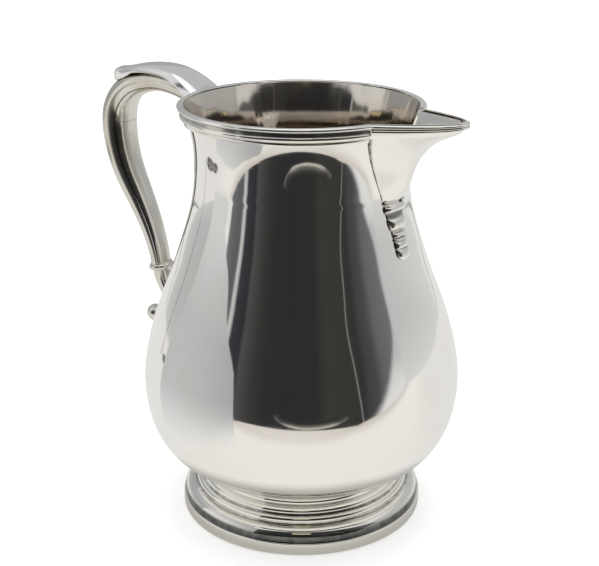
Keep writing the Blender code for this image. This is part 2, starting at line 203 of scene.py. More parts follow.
def sheet_faces(rows, columns):
    """Faces of a sheet with a thickness: a grid of outer points, then the same of inner ones."""
    under = rows * columns
    grid = strip_faces(rows, columns, False)
    faces = grid + [tuple(under + k for k in face[::-1]) for face in grid]
    for i in range(rows - 1):
        for j in (0, columns - 1):
            a, b = i * columns + j, (i + 1) * columns + j
            faces.append((a, b, under + b, under + a))
    for j in range(columns - 1):
        for i in (0, rows - 1):
            a, b = i * columns + j, i * columns + j + 1
            faces.append((a, b, under + b, under + a))
    return faces


def mesh_from(made, name):
    """A mesh of what a bmesh holds; the bmesh is freed."""
    mesh = bpy.data.meshes.new(name)
    made.to_mesh(mesh)
    made.free()
    return mesh


def placed(name, data):
    """A new object in the scene."""
    piece = bpy.data.objects.new(name, data)
    bpy.context.scene.collection.objects.link(piece)
    return piece


def welded(mesh, sharp):
    """Merges points that coincide, turns the faces outwards and shades the mesh smooth."""
    made = bmesh.new()
    made.from_mesh(mesh)
    bmesh.ops.remove_doubles(made, verts=made.verts, dist=0.0000005)
    bmesh.ops.dissolve_degenerate(made, edges=made.edges, dist=0.0000001)
    bmesh.ops.recalc_face_normals(made, faces=made.faces)
    made.to_mesh(mesh)
    made.free()
    mesh.shade_smooth()
    mesh.set_sharp_from_angle(angle=math.radians(sharp))
    return mesh


def mark_hollows(mesh, size):
    """Stores, at each point, how hollow the surface is at about the given size, from 0 to 1."""
    count = len(mesh.vertices)
    points = np.zeros(count * 3, np.float32)
    normals = np.zeros(count * 3, np.float32)
    ends = np.zeros(len(mesh.edges) * 2, np.int32)
    mesh.vertices.foreach_get("co", points)
    mesh.vertex_normals.foreach_get("vector", normals)
    mesh.edges.foreach_get("vertices", ends)
    points, normals, ends = points.reshape(-1, 3), normals.reshape(-1, 3), ends.reshape(-1, 2)
    a, b = ends[:, 0], ends[:, 1]
    step = points[b] - points[a]
    length = np.maximum(np.linalg.norm(step, axis=1), 1e-7)
    uses = np.maximum(np.bincount(a, minlength=count) + np.bincount(b, minlength=count), 1)
    rise = (step * (normals[a] - normals[b])).sum(axis=1) / length**2
    total = np.bincount(a, rise, minlength=count) + np.bincount(b, rise, minlength=count)
    hollow = np.clip(total / uses * size * 2, 0.0, 1.0)
    for _ in range(3):
        spread = np.bincount(a, hollow[b], minlength=count) + np.bincount(b, hollow[a], minlength=count)
        hollow = (hollow + spread / uses) / 2
    store(mesh, "hollow", hollow)


def store(mesh, name, values):
    """Keeps one number a point as a named attribute for the materials."""
    kept = mesh.attributes.get(name) or mesh.attributes.new(name, "FLOAT", "POINT")
    kept.data.foreach_set("value", np.asarray(values, np.float32))


def show(name, mesh, finish, slot, *nodes, hollow_size=0.0004):
    """Places a finished piece, which rides on the pitcher and stands for CAD nodes."""
    piece = placed(name, mesh)
    mesh.materials.clear()
    mesh.materials.append(finish)
    mark_hollows(mesh, hollow_size)
    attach(piece, "root")
    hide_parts(*nodes)
    return piece


def turned(name, profile, sharp=35, opening=0.0):
    """A turned solid of a closed profile, or of an arc of it that leaves out the given half-angle."""
    profile = np.asarray(profile, float)
    start, end = math.radians(opening), 2 * math.pi - math.radians(opening)
    angles = np.linspace(start, end, AROUND + 1)
    if not opening:
        angles = angles[:-1]
    points = [
        (axis_x + r * math.cos(a), r * math.sin(a), z)
        for a in angles for r, z in profile
    ]
    faces_of = capped_faces if opening else ring_faces
    return welded(mesh_of(name, points, faces_of(len(angles), len(profile))), sharp)


def swept_points(line, section):
    """A closed section, (across, outward), carried along a line of (behind, height, size)."""
    along = tangents(line)
    points = []
    for (behind, height, size), (back, rise) in zip(line, along):
        for across, out in section:
            points.append((
                axis_x - behind + rise * out * size, across * size, height + back * out * size,
            ))
    return points


def swept(name, line, section, sharp=35, seams=()):
    """A capped solid with a section carried along a line, tarnished at some of its points."""
    columns = len(section)
    mesh = mesh_of(name, swept_points(line, section), capped_faces(len(line), columns))
    if seams:
        dark = np.zeros(columns)
        dark[list(seams)] = 1.0
        store(mesh, "seam", np.tile(dark, len(line)))
    return welded(mesh, sharp)


def circle(count):
    angles = np.linspace(0.0, 2 * math.pi, count, endpoint=False)
    return [(math.sin(a), math.cos(a)) for a in angles]


def spun(name, start, direction, profile, squeeze=1.0, sharp=35, steps=64):
    """A solid turned about a slanting line in the XZ plane: (radius, distance along the line)."""
    angle = math.atan2(direction[1], direction[0])
    along = (math.cos(angle), math.sin(angle))
    points = []
    for radius, distance in profile:
        for turn in np.linspace(0.0, 2 * math.pi, steps, endpoint=False):
            out, across = radius * squeeze * math.cos(turn), radius * math.sin(turn)
            points.append((
                start[0] + along[0] * distance - along[1] * out, across,
                start[1] + along[1] * distance + along[0] * out,
            ))
    return welded(mesh_of(name, points, capped_faces(len(profile), steps)), sharp)


def combined(mesh, others, operation):
    """The mesh after a Boolean with each of the other meshes in turn."""
    base = placed("base", mesh)
    helpers = [placed("helper", other) for other in others]
    for helper in helpers:
        boolean = base.modifiers.new("Boolean", "BOOLEAN")
        boolean.operation = operation
        boolean.solver = "EXACT"
        boolean.object = helper
    bpy.context.view_layer.update()
    seen = base.evaluated_get(bpy.context.evaluated_depsgraph_get())
    made = bpy.data.meshes.new_from_object(seen)
    made.name = mesh.name
    for spent in [base, *helpers]:
        bpy.data.objects.remove(spent)
    return welded(made, 35)


# The body and its rim

body_curve = spline(BODY_OUTLINE, 600)


def body_radius(height):
    """Outside radius of the body at a height above its widest point."""
    upper = body_curve[body_curve[:, 1] > 0.08]
    return np.interp(height, upper[:, 1], upper[:, 0])


def joint_angle(height):
    """Half-angle of the spout's joint with the body, in radians."""
    return np.radians(np.interp(height, *np.transpose(SPOUT_JOINT)))


def opening_angle(height):
    """Half-angle of the opening behind the spout: it stops a little inside the joint."""
    inset, bottom, rounding = 0.0013, 0.1685, 0.0040
    radius = body_radius(height)
    full = np.arcsin((radius * np.sin(joint_angle(height)) - inset) / radius)
    share = np.clip((height - bottom) / rounding, 0.0, 1.0)
    return full * np.sqrt(1 - (1 - share) ** 2)


def body_mesh():
    """The raised body: a wall of even thickness with an opening behind the spout."""
    outline = body_curve[body_curve[:, 1] <= BODY_TOP]
    outer = outline[np.unique(np.linspace(0, len(outline) - 1, 130).astype(int))]
    inner = offset(outer, WALL)
    inner[0, 0] = 0.0
    profile = np.concatenate([outer, inner[::-1]])
    count, columns = len(outer), AROUND + 1
    points, inside = [], []
    for i, (r, z) in enumerate(profile):
        gap = float(opening_angle(outer[min(i, 2 * count - 1 - i), 1]))
        for angle in np.linspace(gap, 2 * math.pi - gap, columns):
            points.append((axis_x + max(r, 0.0) * math.cos(angle), max(r, 0.0) * math.sin(angle), z))
            inside.append(0.0 if i < count else 1.0)
    faces = strip_faces(len(profile), columns, False)
    for i in range(count - 1):
        if opening_angle(outer[i + 1, 1]) > 0:
            pair = 2 * count - 1 - i
            for side in (0, columns - 1):
                faces.append((
                    i * columns + side, (i + 1) * columns + side,
                    (pair - 1) * columns + side, pair * columns + side,
                ))
    mesh = mesh_of("body", points, faces)
    store(mesh, "inside", inside)
    return welded(mesh, 35)


def rim_profile():
    """The applied wire over the edge of the wall: a flat top, a lip, a cove, a bead and a fillet."""
    lip = arc((0.05715, 0.20415), 0.00095, 95, -60, 12)
    cove = [(0.0565, 0.2029), (0.0561, 0.2024), (0.0561, 0.2019)]
    bead = arc((0.0557, 0.20015), 0.0013, 62, -62, 14)
    fillet = [(0.0556, 0.1985), (0.0556, 0.1976), (0.0552, 0.1968), (0.0545, rim_bottom)]
    top = [(0.05492, 0.2032), (0.05488, 0.2043), (0.05496, 0.2048), (0.0552, 0.2050), (0.0560, 0.20508)]
    back = [(body_radius(z) - 0.0004, z) for z in np.linspace(rim_bottom, 0.2025, 6)]
    return [*top, *lip, *cove, *bead, *fillet, *back]


# The spout

crest_curve = natural_spline(SPOUT_CREST)
SPOUT_FLAT = 0.12         # share of the half-width over which the spout's front is rounded off


def spout_station(share):
    """Half-width, base and crest of the spout at a share of its height, each in the XZ plane."""
    crest = crest_curve(np.array(share))
    low, high = SPOUT_JOINT[0][0], SPOUT_JOINT[-1][0]
    crowding = 0.8
    height = low + (high - low) * share**crowding
    angle = float(joint_angle(height))
    radius = float(body_radius(height))
    return radius * math.sin(angle), (radius * math.cos(angle), height), crest


def fullness(side):
    """How far out the spout stands at a side from -1 to 1, as a share of its middle."""
    whole = (1 + SPOUT_FLAT**2) ** (SPOUT_POWER / 2) - SPOUT_FLAT**SPOUT_POWER
    return 1 - ((side**2 + SPOUT_FLAT**2) ** (SPOUT_POWER / 2) - SPOUT_FLAT**SPOUT_POWER) / whole


def spout_point(station, side):
    half_width, base, crest = station
    share = fullness(side)
    x = base[0] + (crest[0] - base[0]) * share
    z = base[1] + (crest[1] - base[1]) * share
    return np.array((axis_x + x, half_width * side, z))


def spout_mesh():
    """The folded sheet of the spout, which tapers down the neck to a point."""
    rows, columns = 72, 81
    outer = np.zeros((rows, columns, 3))
    seam = np.zeros((rows, columns))
    seam_width, least_depth = 0.0005, 0.0008
    trough_stain_and_shade = 0.22        # how much of the inside's stain and painted shade the spout's upper side has
    for i, share in enumerate(np.linspace(0.0, 1.0, rows)):
        station = spout_station(share)
        depth = max(station[2][0] - station[1][0], least_depth)
        reach = (1 + SEAT / depth) ** (1 / SPOUT_POWER)
        for j, side in enumerate(np.linspace(-reach, reach, columns)):
            outer[i, j] = spout_point(station, side)
            seam[i, j] = (reach - abs(side)) * station[0] < seam_width
    across, up = np.gradient(outer, axis=1), np.gradient(outer, axis=0)
    normal = np.cross(across, up)
    normal /= np.maximum(np.linalg.norm(normal, axis=2), 1e-12)[:, :, None]
    inner = outer - normal * WALL
    points = np.concatenate([outer.reshape(-1, 3), inner.reshape(-1, 3)])
    mesh = mesh_of("spout", points, sheet_faces(rows, columns))
    store(mesh, "seam", np.concatenate([seam.ravel(), np.zeros(seam.size)]))
    store(mesh, "inside", np.concatenate([np.zeros(seam.size), np.full(seam.size, trough_stain_and_shade)]))
    return welded(mesh, 40)


def spout_moulding_mesh(name, side):
    """The wire along one edge of the spout: a flat top over the sheet's edge and two reeds."""
    reed, middle = 0.0009, 0.0004
    upper = arc((middle, -0.0011), reed, 95, -68, 10)
    lower = arc((middle, -0.0030), reed, 68, -95, 10)
    section = [
        (-0.00105, -0.0016), (-0.00105, -0.0003), (-0.0009, -0.0001), (-0.0004, -0.00005),
        *upper, *lower, (-0.0003, -0.0037),
    ]
    top = spout_station(1.0)
    line = np.array([spout_point(top, side * share) for share in np.linspace(0.985, 0.0, 48)])
    along = tangents(line)
    outward = side * np.stack([-along[:, 1], along[:, 0]], axis=1)
    outward[-1] = (1.0, 0.0)
    heights = np.linspace(1.08, 0.70, len(line))
    points = []
    for (x, y, z), (out_x, out_y), height in zip(line, outward, heights):
        points += [(x + out_x * out, y + out_y * out, z + down * height) for out, down in section]
    return welded(mesh_of(name, points, capped_faces(len(line), len(section))), 35)


# The cast drop's outline, as (height, half-angle in degrees about the body's axis)
DROP_OUTLINE = [
    (0.1396, 1.0), (0.1399, 2.2), (0.1405, 3.3), (0.1416, 4.2), (0.1433, 4.7), (0.1462, 4.8),
    (0.1490, 4.9), (0.1510, 5.1), (0.1532, 5.8), (0.1560, 6.7), (0.1585, 7.3), (0.1605, 7.9),
    (0.1622, 8.7), (0.1640, 8.9), (0.1648, 8.6), (0.1652, 8.2),
]
# Its swellings from the top: a bar, a pad, a pair of beads, a ring, a bead and a teardrop, each
# as (height of its middle, half-length, rise, whether it is parted in two)
DROP_SWELLINGS = [
    (0.1634, 0.0017, 0.0030, False), (0.1562, 0.0027, 0.0027, False),
    (0.1511, 0.0011, 0.0021, True), (0.1491, 0.0006, 0.0024, False),
    (0.1466, 0.0017, 0.0020, False), (0.1424, 0.0026, 0.0020, False),
]
DROP_COVE = (0.1602, 0.0013)      # middle and half-length of the hollow under its bar, tarnished and painted dark as shade


def drop_rise(height, side):
    """How far the drop stands proud of the neck at a height, and at a side from -1 to 1."""
    across = (1 - abs(side) ** 3) ** 0.5
    ground, parting = 0.0009, 0.65
    rise = ground
    for middle, half, top, parted in DROP_SWELLINGS:
        share = max(0.0, 1 - ((height - middle) / half) ** 2)
        if parted:
            share *= 1 - parting + parting * math.sin(math.pi * side) ** 2
        rise = max(rise, ground + (top - ground) * math.sqrt(share))
    return rise * across


def spout_drop_mesh():
    """The cast drop on the neck: its bar ends in two curls, and it narrows to a teardrop."""
    heights = np.linspace(DROP_OUTLINE[-1][0], DROP_OUTLINE[0][0], 150)
    sides = np.sin(np.linspace(-math.pi / 2, math.pi / 2, 45))
    edge, edge_shade, cove_dark = 0.955, 0.8, 0.93
    outer, inner, seam, painted_dark_band = [], [], [], []
    for height in heights:
        radius = float(body_radius(height))
        half_angle = math.radians(np.interp(height, *np.transpose(DROP_OUTLINE)))
        cove = max(0.0, 1 - ((height - DROP_COVE[0]) / DROP_COVE[1]) ** 2)
        for side in sides:
            angle = half_angle * side
            for line, distance in ((outer, drop_rise(height, side)), (inner, -SEAT)):
                place = radius + distance
                line.append((axis_x + place * math.cos(angle), place * math.sin(angle), height))
            # The drop's edges are painted dark as shade.
            seam.append(edge_shade * (abs(side) > edge))
            # The cove under the bar is painted dark as shade.
            painted_dark_band.append(cove_dark * cove**0.5)
    mesh = mesh_of("spout_drop", outer + inner, sheet_faces(len(heights), len(sides)))
    store(mesh, "seam", seam + [0.0] * len(inner))
    store(mesh, "painted_dark_band", painted_dark_band + [0.0] * len(inner))
    curls = [curl_mesh(side) for side in (-1, 1)]
    return combined(welded(mesh, 50), curls, "UNION")


def curl_mesh(side):
    """A small coiled end of the drop's bar: a ring that lies on the neck."""
    height, spread, ring, thick = 0.1661, math.radians(7.6), 0.0007, 0.0006
    stretch, curl_darkening = 1.3, 0.75
    radius = float(body_radius(height)) + thick
    outward = (math.cos(spread), side * math.sin(spread))
    points = []
    steps, around = 28, 14
    for turn in np.linspace(0.0, 2 * math.pi, steps, endpoint=False):
        for swing in np.linspace(0.0, 2 * math.pi, around, endpoint=False):
            reach = ring + thick * math.cos(swing)
            out = thick * stretch * math.sin(swing)
            across, up = reach * math.cos(turn), reach * math.sin(turn)
            points.append((
                axis_x + outward[0] * (radius + out) - outward[1] * across,
                outward[1] * (radius + out) + outward[0] * across, height + up,
            ))
    mesh = mesh_of("curl", points, ring_faces(steps, around))
    # The whole curl is darkened.
    store(mesh, "seam", [curl_darkening] * len(points))
    return welded(mesh, 60)


# The handle

def handle_arc(half_w, half_d, start, end, count):
    """Part of the handle's oval section, with angles in degrees from the side away from the body."""
    angles = np.radians(np.linspace(start, end, count))
    return [(half_w * math.sin(a), half_d * math.cos(a)) for a in angles]


def handle_section(start, end, count):
    """A strip of the handle's wall: its outer arc, then its inner arc back."""
    half_w, half_d = HANDLE_W / 2, HANDLE_D / 2
    outside = handle_arc(half_w, half_d, start, end, count)
    inside = handle_arc(half_w - HANDLE_WALL, half_d - HANDLE_WALL, end, start, count)
    return outside + inside


def section_ends(count):
    """Which points of a section of two arcs, each of count points, lie at the arcs' ends."""
    return 0, count - 1, count, 2 * count - 1


def handle_meshes(cutter):
    """The hollow handle: an outer shell closed on its inner side by two strips that butt."""
    line = spline(HANDLE_LINE, 120)
    seam, seam_gap, butt_gap = 180 - STRIP_HALF_ANGLE, 1.3, 0.0001
    shell_count, strip_count = 56, 28
    shell = swept("handle_shell", line, handle_section(-seam, seam, shell_count),
                  seams=section_ends(shell_count))
    strip = handle_section(seam + seam_gap, 360 - seam - seam_gap, strip_count)
    highest = int(np.argmax(line[:, 1]))
    butt = next(i for i in range(highest, len(line)) if line[i, 1] < STRIP_BUTT_Z)
    share = (line[butt - 1, 1] - STRIP_BUTT_Z) / (line[butt - 1, 1] - line[butt, 1])
    meeting = line[butt - 1] + (line[butt] - line[butt - 1]) * share
    apart = np.array([0.0, butt_gap, 0.0])
    upper = swept("handle_strip_upper", np.vstack([line[:butt], meeting + apart]), strip,
                  seams=section_ends(strip_count))
    lower = swept("handle_strip_lower", np.vstack([meeting - apart, line[butt:]]), strip,
                  seams=section_ends(strip_count))
    return (
        combined(shell, [cutter()], "DIFFERENCE"),
        combined(upper, [cutter()], "DIFFERENCE"),
        lower,
    )


def thumb_plate_mesh(cutter):
    """A smooth saddle over the handle's arch, which narrows to a blunt, rounded free end."""
    line = spline([
        (0.0560, 0.2008, 1.30), (0.0620, 0.2050, 1.24), (0.0690, 0.2088, 1.14),
        (0.0780, 0.2116, 1.05), (0.0870, 0.2123, 0.98), (0.0970, 0.2115, 0.90),
        (0.1050, 0.2099, 0.83), (0.1095, 0.2091, 0.79), (0.1137, 0.2088, 0.77),
    ], 96)
    crown = spline([
        (-0.0094, -0.0006), (-0.0078, 0.0011), (-0.0045, 0.0021), (0.0, 0.0024),
        (0.0045, 0.0021), (0.0078, 0.0011), (0.0094, -0.0006),
    ], 33)
    edge = [(0.0097, -0.0011), (0.0096, -0.0017), (0.0092, -0.0021), (0.0086, -0.0023)]
    under = spline([(0.0086, -0.0023), (0.0066, -0.0018), (0.0035, -0.0004), (0.0, 0.0)], 10)
    right = [*edge, *map(tuple, under[1:-1])]
    section = [*map(tuple, crown), *right, (0.0, 0.0), *[(-x, y) for x, y in reversed(right)]]
    end_round, end_shrink, end_width, middle = 0.0016, 0.72, 0.6, -0.0012
    tongue_length, tongue_depth, tongue_edge = 0.0130, 0.0046, 0.0018
    points = []
    reach = np.concatenate([[0.0], np.cumsum(np.linalg.norm(np.diff(line[:, :2], axis=0), axis=1))])
    for (behind, height, size), (back, up), left in zip(line, tangents(line), reach[-1] - reach):
        inward = max(0.0, 1 - left / end_round)
        shrink = math.sqrt(max(0.0, 1 - end_shrink * inward**2))
        width = end_width + (1 - end_width) * shrink
        tongue = tongue_depth * max(0.0, 1 - left / tongue_length)
        for across, out in section:
            lowered = tongue * min(1.0, max(0.0, -out / tongue_edge))
            rise = middle + (out - middle) * shrink - lowered
            points.append((
                axis_x - behind + up * rise * size, across * size * width, height + back * rise * size,
            ))
    columns = len(section)
    mesh = mesh_of("thumb_plate", points, capped_faces(len(line), columns))
    # The plate's underside and lower edges are painted dark as shade.
    shaded_underside = np.zeros(columns)
    shaded_underside[len(crown) + 1 : columns - 3] = 1.0
    store(mesh, "seam", np.tile(shaded_underside, len(line)))
    sink = 0.0001
    oval = handle_arc(HANDLE_W / 2 - sink, HANDLE_D / 2 - sink, 0, 354, 60)
    handle = swept("handle solid", spline(HANDLE_LINE, 120), oval)
    return combined(welded(mesh, 50), [handle, cutter()], "DIFFERENCE")


def handle_end(distance):
    """A point past the handle's lower end, at a distance along its last direction."""
    (r0, z0, _), (r1, z1, _) = HANDLE_LINE[-2:]
    share = distance / math.dist((r0, z0), (r1, z1))
    return r1 + (r1 - r0) * share, z1 + (z1 - z0) * share


def handle_collar_mesh():
    """A ring where the hollow handle ends on the cast scroll."""
    ring = softened([
        (0.0000, -0.0002), (0.0058, -0.0002), (0.0061, 0.0006), (0.0067, 0.0012), (0.0069, 0.0021),
        (0.0065, 0.0031), (0.0057, 0.0038), (0.0048, 0.0042), (0.0000, 0.0042),
    ], 0.0001, 0.00025)
    ring[0, 0] = ring[-1, 0] = 0.0
    (r0, z0), (r1, z1) = handle_end(0.0), handle_end(0.0037)
    return spun("handle_collar", (axis_x - r0, z0), (r0 - r1, z1 - z0), ring)


def tube(name, points, count):
    return swept(name, spline(points, count), circle(32))


def handle_scroll_mesh(cutter):
    """The cast lower end: a strut that curves in to the body, and a tail that ends in a ball."""
    strut = tube("handle_scroll", [
        (*handle_end(0.0030), 0.0050), (0.0906, 0.1000, 0.0047), (0.0882, 0.0953, 0.0044),
        (0.0856, 0.0908, 0.0042), (0.0815, 0.0868, 0.0043), (0.0750, 0.0845, 0.0046),
    ], 40)
    tail = tube("tail", [
        (0.0790, 0.0870, 0.0042), (0.0840, 0.0840, 0.0036), (0.0890, 0.0822, 0.0031),
        (0.0935, 0.0811, 0.0031), (0.0970, 0.0792, 0.0036),
    ], 28)
    made = bmesh.new()
    bmesh.ops.create_uvsphere(made, u_segments=48, v_segments=28, radius=0.0047)
    bmesh.ops.translate(made, verts=made.verts, vec=(axis_x - 0.0977, 0.0, 0.0783))
    scroll = combined(strut, [tail, mesh_from(made, "ball")], "UNION")
    return combined(scroll, [cutter()], "DIFFERENCE")


def body_cutter():
    """The body as a solid, shrunk a little, so that what it cuts sinks into its surface."""
    outline = offset(body_curve[::5], SEAT)
    outline[0, 0] = 0.0
    profile = [(0.0, 0.22), (outline[-1, 0], 0.22), *outline[::-1]]
    return turned("body cutter", profile)


def rim_cutter():
    """The same for the body with its rim moulding."""
    outline = offset(body_curve[::5], SEAT)
    outline[0, 0] = 0.0
    below = outline[outline[:, 1] < rim_bottom]
    lip, bead = 0.0579, 0.0568
    profile = [
        (0.0, 0.22), (lip, 0.22), (lip, 0.2036), (0.0563, 0.2028), (0.0559, 0.2020), (bead, 0.2008),
        (bead, 0.1996), (0.0556, 0.1988), (0.0552, 0.1975), (0.0544, rim_bottom), *below[::-1],
    ]
    return turned("rim cutter", profile)


# The foot

def foot_collar_profile():
    bead = arc((0.0469, 0.0210), 0.0018, 84, -78, 14)
    return [*bead, (0.0458, 0.0190), (0.0452, 0.0200), (0.0452, 0.0222), (0.0458, 0.0228)]


def foot_ring_profile():
    """The stepped foot: a small fillet, a bead and an ovolo, hollow underneath."""
    seat = foot_wire_top
    quarter, quarter_r, wall = (0.0545, 0.0074), 0.0051, 0.0010
    steps = softened([
        (0.0474, 0.0193), (0.0484, 0.0192), (0.0494, 0.0188), (0.0503, 0.0182), (0.0507, 0.0175),
        (0.0508, 0.0168),
    ], 0.0002, 0.0004)
    bead = arc((0.0517, 0.0140), 0.0019, 100, -8, 14)
    groove = [(0.0536, 0.0131), (0.0539, 0.0126)]
    ovolo = arc(quarter, quarter_r, 88, 0, 16)
    edge, eased_edge = quarter[0] + quarter_r, 0.0002
    down = [(edge, seat + 0.0004), (edge - eased_edge, seat - eased_edge)]
    under = [(edge - wall, seat - eased_edge), *arc(quarter, quarter_r - wall, 0, 90, 6)]
    inside = [(0.0516, 0.0124), (0.0500, 0.0150), (0.0474, 0.0174)]
    return [*map(tuple, steps), *bead, *groove, *ovolo, *down, *under, *inside]


def foot_wire_profile():
    """The plain wire that the pitcher stands on, with its corners eased."""
    inner, ease = 0.0573, 0.0005
    high, low = foot_wire_top, 0.0
    corners = [
        ((foot_r - ease, high - ease), 90), ((foot_r - ease, low + ease), 0),
        ((inner + ease, low + ease), -90), ((inner + ease, high - ease), -180),
    ]
    return [p for centre, start in corners for p in arc(centre, ease, start, start - 90, 5)]


# Materials

def node(tree, kind, **settings):
    made = tree.nodes.new(kind)
    for name, value in settings.items():
        setattr(made, name, value)
    return made


def plug(tree, socket, value):
    """Links a socket to another, or sets its value."""
    if isinstance(value, bpy.types.NodeSocket):
        tree.links.new(value, socket)
    elif isinstance(value, tuple) and len(value) == 3 and socket.type == "RGBA":
        socket.default_value = (*value, 1.0)
    else:
        socket.default_value = value


def maths(tree, operation, *values, clamp=False):
    made = node(tree, "ShaderNodeMath", operation=operation, use_clamp=clamp)
    for socket, value in zip(made.inputs, values):
        plug(tree, socket, value)
    return made.outputs[0]


def blended(tree, share, first, second):
    made = node(tree, "ShaderNodeMix", data_type="RGBA")
    plug(tree, made.inputs[0], share)
    plug(tree, made.inputs[6], first)
    plug(tree, made.inputs[7], second)
    return made.outputs[2]


def times(tree, first, second, clamp=False):
    return maths(tree, "MULTIPLY", first, second, clamp=clamp)


def plus(tree, first, second):
    return maths(tree, "ADD", first, second)


def apart(tree, value, centre):
    """How far a value is from a centre."""
    return maths(tree, "ABSOLUTE", maths(tree, "SUBTRACT", value, centre))


def remapped(tree, value, start, end, low, high, way="LINEAR"):
    """From low to high as the value goes from start to end, and no further."""
    made = node(tree, "ShaderNodeMapRange", interpolation_type=way)
    for socket, given in zip(made.inputs, (value, start, end, low, high)):
        plug(tree, socket, given)
    return made.outputs[0]


def eased(tree, value, start, end, low=0.0, high=1.0):
    return remapped(tree, value, start, end, low, high, "SMOOTHSTEP")


def attribute(tree, name):
    return node(tree, "ShaderNodeAttribute", attribute_name=name).outputs["Fac"]


def noise(tree, place, scale, detail=2.0, stretch=None):
    """A noise's value at a place, from 0 to 1, optionally on a stretched place."""
    if stretch:
        moved = node(tree, "ShaderNodeMapping")
        plug(tree, moved.inputs["Vector"], place)
        moved.inputs["Scale"].default_value = stretch
        place = moved.outputs[0]
    made = node(tree, "ShaderNodeTexNoise")
    plug(tree, made.inputs["Vector"], place)
    made.inputs["Scale"].default_value = scale
    made.inputs["Detail"].default_value = detail
    return made.outputs[0]


TARNISH = (0.10, 0.085, 0.065)      # colour of the hollows
SEAM_DIRT_AND_SHADE = (0.12, 0.10, 0.075)     # colour along the soldered seams, and of the painted shade on the drop's edges and under the thumb plate
PAINTED_BAND_DARK = (0.065, 0.07, 0.072)    # colour of the painted shade in the drop's cove and of the painted dark reflection on the foot's lowest step
STAIN_AND_SHADE = (0.50, 0.43, 0.35)          # colour of the stain film inside, and of the painted shade deeper in


def silver(name, clean, film, film_share, tarnish, gloss, ripple):
    """Polished silver: a clean colour under a patchy film, dark tarnish in the hollows, dark seams,
    painted shade and dark reflections on marked edges and bands, a stain with painted shade inside,
    wipe marks.
    """
    made = bpy.data.materials.new(name)
    made.use_nodes = True
    tree = made.node_tree
    shader = tree.nodes["Principled BSDF"]
    shader.inputs["Metallic"].default_value = 1.0
    place = node(tree, "ShaderNodeTexCoord").outputs["Object"]

    patches = noise(tree, place, 34.0, 4.0)
    colour = blended(tree, eased(tree, patches, 0.38, 0.68, 0.0, film_share), clean, film)
    specks = eased(tree, noise(tree, place, 720.0, 1.0), 0.66, 0.76, 0.0, 0.16)
    colour = blended(tree, specks, colour, film)

    dark_mark_noise = noise(tree, place, 260.0, 3.0)
    dark = times(tree, attribute(tree, "hollow"), remapped(tree, dark_mark_noise, 0.3, 0.7, 0.45, 1.0))
    dark = times(tree, dark, tarnish, clamp=True)
    colour = blended(tree, dark, colour, TARNISH)
    # Soldered seams are darkened with dirt; the same mark paints shade on the drop's edges and under
    # the thumb plate, and darkens the drop's curls.
    seam = times(tree, attribute(tree, "seam"), remapped(tree, dark_mark_noise, 0.25, 0.6, 0.5, 1.0), clamp=True)
    colour = blended(tree, seam, colour, SEAM_DIRT_AND_SHADE)
    # A painted dark band: painted shade in the drop's cove, and a painted reflection of the dark room
    # on the foot's lowest step.
    painted_dark_band = times(tree, attribute(tree, "painted_dark_band"), remapped(tree, dark_mark_noise, 0.3, 0.7, 0.88, 1.0), clamp=True)
    colour = blended(tree, painted_dark_band, colour, PAINTED_BAND_DARK)

    # The inside has a stain film, with painted shade that darkens it more deeper down
    inside = attribute(tree, "inside")
    axes = node(tree, "ShaderNodeSeparateXYZ")
    plug(tree, axes.inputs[0], place)
    height = axes.outputs[2]
    stain_and_shade = times(tree, inside, eased(tree, height, 0.202, 0.185, 0.55, 0.84))
    stain_and_shade = times(tree, stain_and_shade, remapped(tree, patches, 0.3, 0.7, 0.85, 1.1), clamp=True)
    plug(tree, shader.inputs["Base Color"], blended(tree, stain_and_shade, colour, STAIN_AND_SHADE))

    wipes = noise(tree, place, 60.0, 5.0, (1.0, 1.6, 9.0))
    rough = remapped(tree, wipes, 0.3, 0.75, gloss * 0.75, gloss * 1.5)
    rough = plus(tree, rough, times(tree, dark, 0.25))
    rough = plus(tree, rough, times(tree, stain_and_shade, 0.07))
    plug(tree, shader.inputs["Roughness"], rough)

    # Slow waves and hairlines everywhere, and upright ribs on the inside of the neck
    wave = noise(tree, place, 26.0, 1.0)
    hairs = noise(tree, place, 900.0, 2.0, (1.0, 1.0, 3.0))
    relief = plus(tree, times(tree, wave, ripple), times(tree, hairs, 0.0015))
    ribs = noise(tree, place, 110.0, 1.0, (1.0, 1.0, 0.08))
    ribbed = times(tree, inside, eased(tree, height, 0.10, 0.17, 0.02, 0.55))
    relief = plus(tree, relief, times(tree, ribs, ribbed))
    bump = node(tree, "ShaderNodeBump")
    bump.inputs["Strength"].default_value = 1.0
    bump.inputs["Distance"].default_value = 0.001
    plug(tree, bump.inputs["Height"], relief)
    plug(tree, shader.inputs["Normal"], bump.outputs[0])
    return made


# The stage: a pale floor, and what the silver mirrors, as glowing cards painted with the surroundings'
# light and shade

VIEW_TURN = 36.0          # azimuth of the camera and of the open side of the surroundings
TABLE_Z = -0.0003         # height of the mirrored table, between the foot and the floor


def mirrored_piece(name, mesh, finish, height=0.0):
    """A stage piece that the silver sees, but neither the camera nor the floor's light does; it glows
    with painted light and shade.
    """
    mesh.materials.append(finish)
    piece = placed(name, mesh)
    piece.location = (axis_x, 0.0, height)
    piece.rotation_euler.z = math.radians(VIEW_TURN)
    piece.visible_camera = False
    piece.visible_diffuse = False
    piece.visible_shadow = False
    piece.visible_transmission = False


def glowing(name):
    """An emission material, its tree and its colour socket."""
    made = bpy.data.materials.new(name)
    made.use_nodes = True
    tree = made.node_tree
    tree.nodes.clear()
    light = node(tree, "ShaderNodeEmission")
    out = node(tree, "ShaderNodeOutputMaterial")
    plug(tree, out.inputs["Surface"], light.outputs[0])
    made.cycles.emission_sampling = "NONE"
    return made, tree, light.inputs["Color"]


